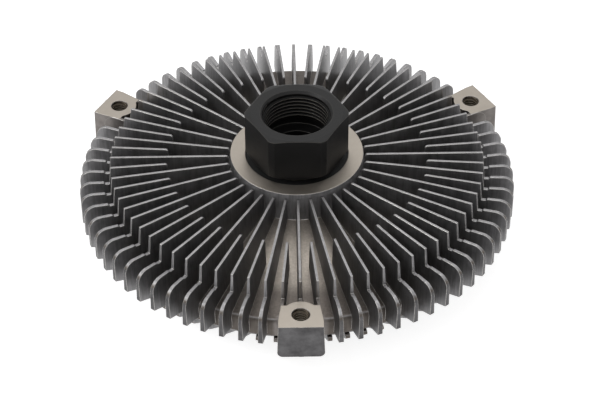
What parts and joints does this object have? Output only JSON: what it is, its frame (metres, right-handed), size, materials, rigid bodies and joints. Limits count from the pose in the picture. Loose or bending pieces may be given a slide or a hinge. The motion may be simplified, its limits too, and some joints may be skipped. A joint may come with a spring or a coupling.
{
  "type": "viscous fan clutch",
  "caption": "Viscous fan clutch: round finned die-cast housing with lugs for a fan, a hexagon hub that screws on a pump shaft, and a bimetal strip that works its valve.",
  "frame": {"origin": "centre of the fan bolt circle, in the plane of the three machined lug faces", "axes": "+Z along the clutch axis, towards the hub's open end; -Y through the front fan lug"},
  "size_m": [0.1566, 0.1606, 0.0519],
  "materials": {
    "cast_aluminium": "as cast, matt",
    "machined_aluminium": "turned",
    "blackened_steel": "phosphated and oiled",
    "bearing_steel": "ground",
    "spring_steel": "oiled",
    "sheet_steel": "rolled",
    "plated_steel": "zinc plated",
    "bimetal": "rolled",
    "cage_plastic": "moulded",
    "seal_rubber": "moulded",
    "gasket": "flat sheet"
  },
  "bodies": {
    "housing": {"rear_housing": "cast_aluminium", "front_cover": "cast_aluminium", "cover_gasket": "gasket", "cover_screws": "plated_steel", "bearing_outer_ring": "bearing_steel", "bearing_seal_rear": "seal_rubber", "bearing_seal_front": "seal_rubber", "bearing_retaining_ring": "spring_steel", "partition_plate": "sheet_steel", "pump_scoop": "sheet_steel", "valve_lever": "spring_steel", "lever_rivets": "plated_steel", "pin_seal_ring": "seal_rubber", "pin_seal_retainer": "sheet_steel", "bimetal_strip": "bimetal"},
    "drive": {"hub_shaft": "blackened_steel", "bearing_inner_ring": "bearing_steel", "drive_disc": "machined_aluminium"},
    "ball_cage": {"bearing_balls": "bearing_steel", "bearing_cage": "cage_plastic"},
    "control_pin": {"control_pin": "bearing_steel"}
  },
  "joints": [
    {"name": "hub_spin", "type": "hinge", "parent": "housing", "child": "drive", "pos_m": [0, 0, 0], "axis": [0, 0, 1], "continuous": true},
    {"name": "cage_orbit", "type": "hinge", "parent": "housing", "child": "ball_cage", "pos_m": [0, 0, 0], "axis": [0, 0, 1], "continuous": true},
    {"name": "pin_slide", "type": "slide", "parent": "housing", "child": "control_pin", "axis": [0, 0, -1], "range_m": [0, 0.001], "stiffness_N_per_m": 2000, "deforming": ["bimetal_strip", "valve_lever"]}
  ],
  "couplings": [
    {"joint": "cage_orbit", "follows": "hub_spin", "ratio": 0.39758}
  ]
}
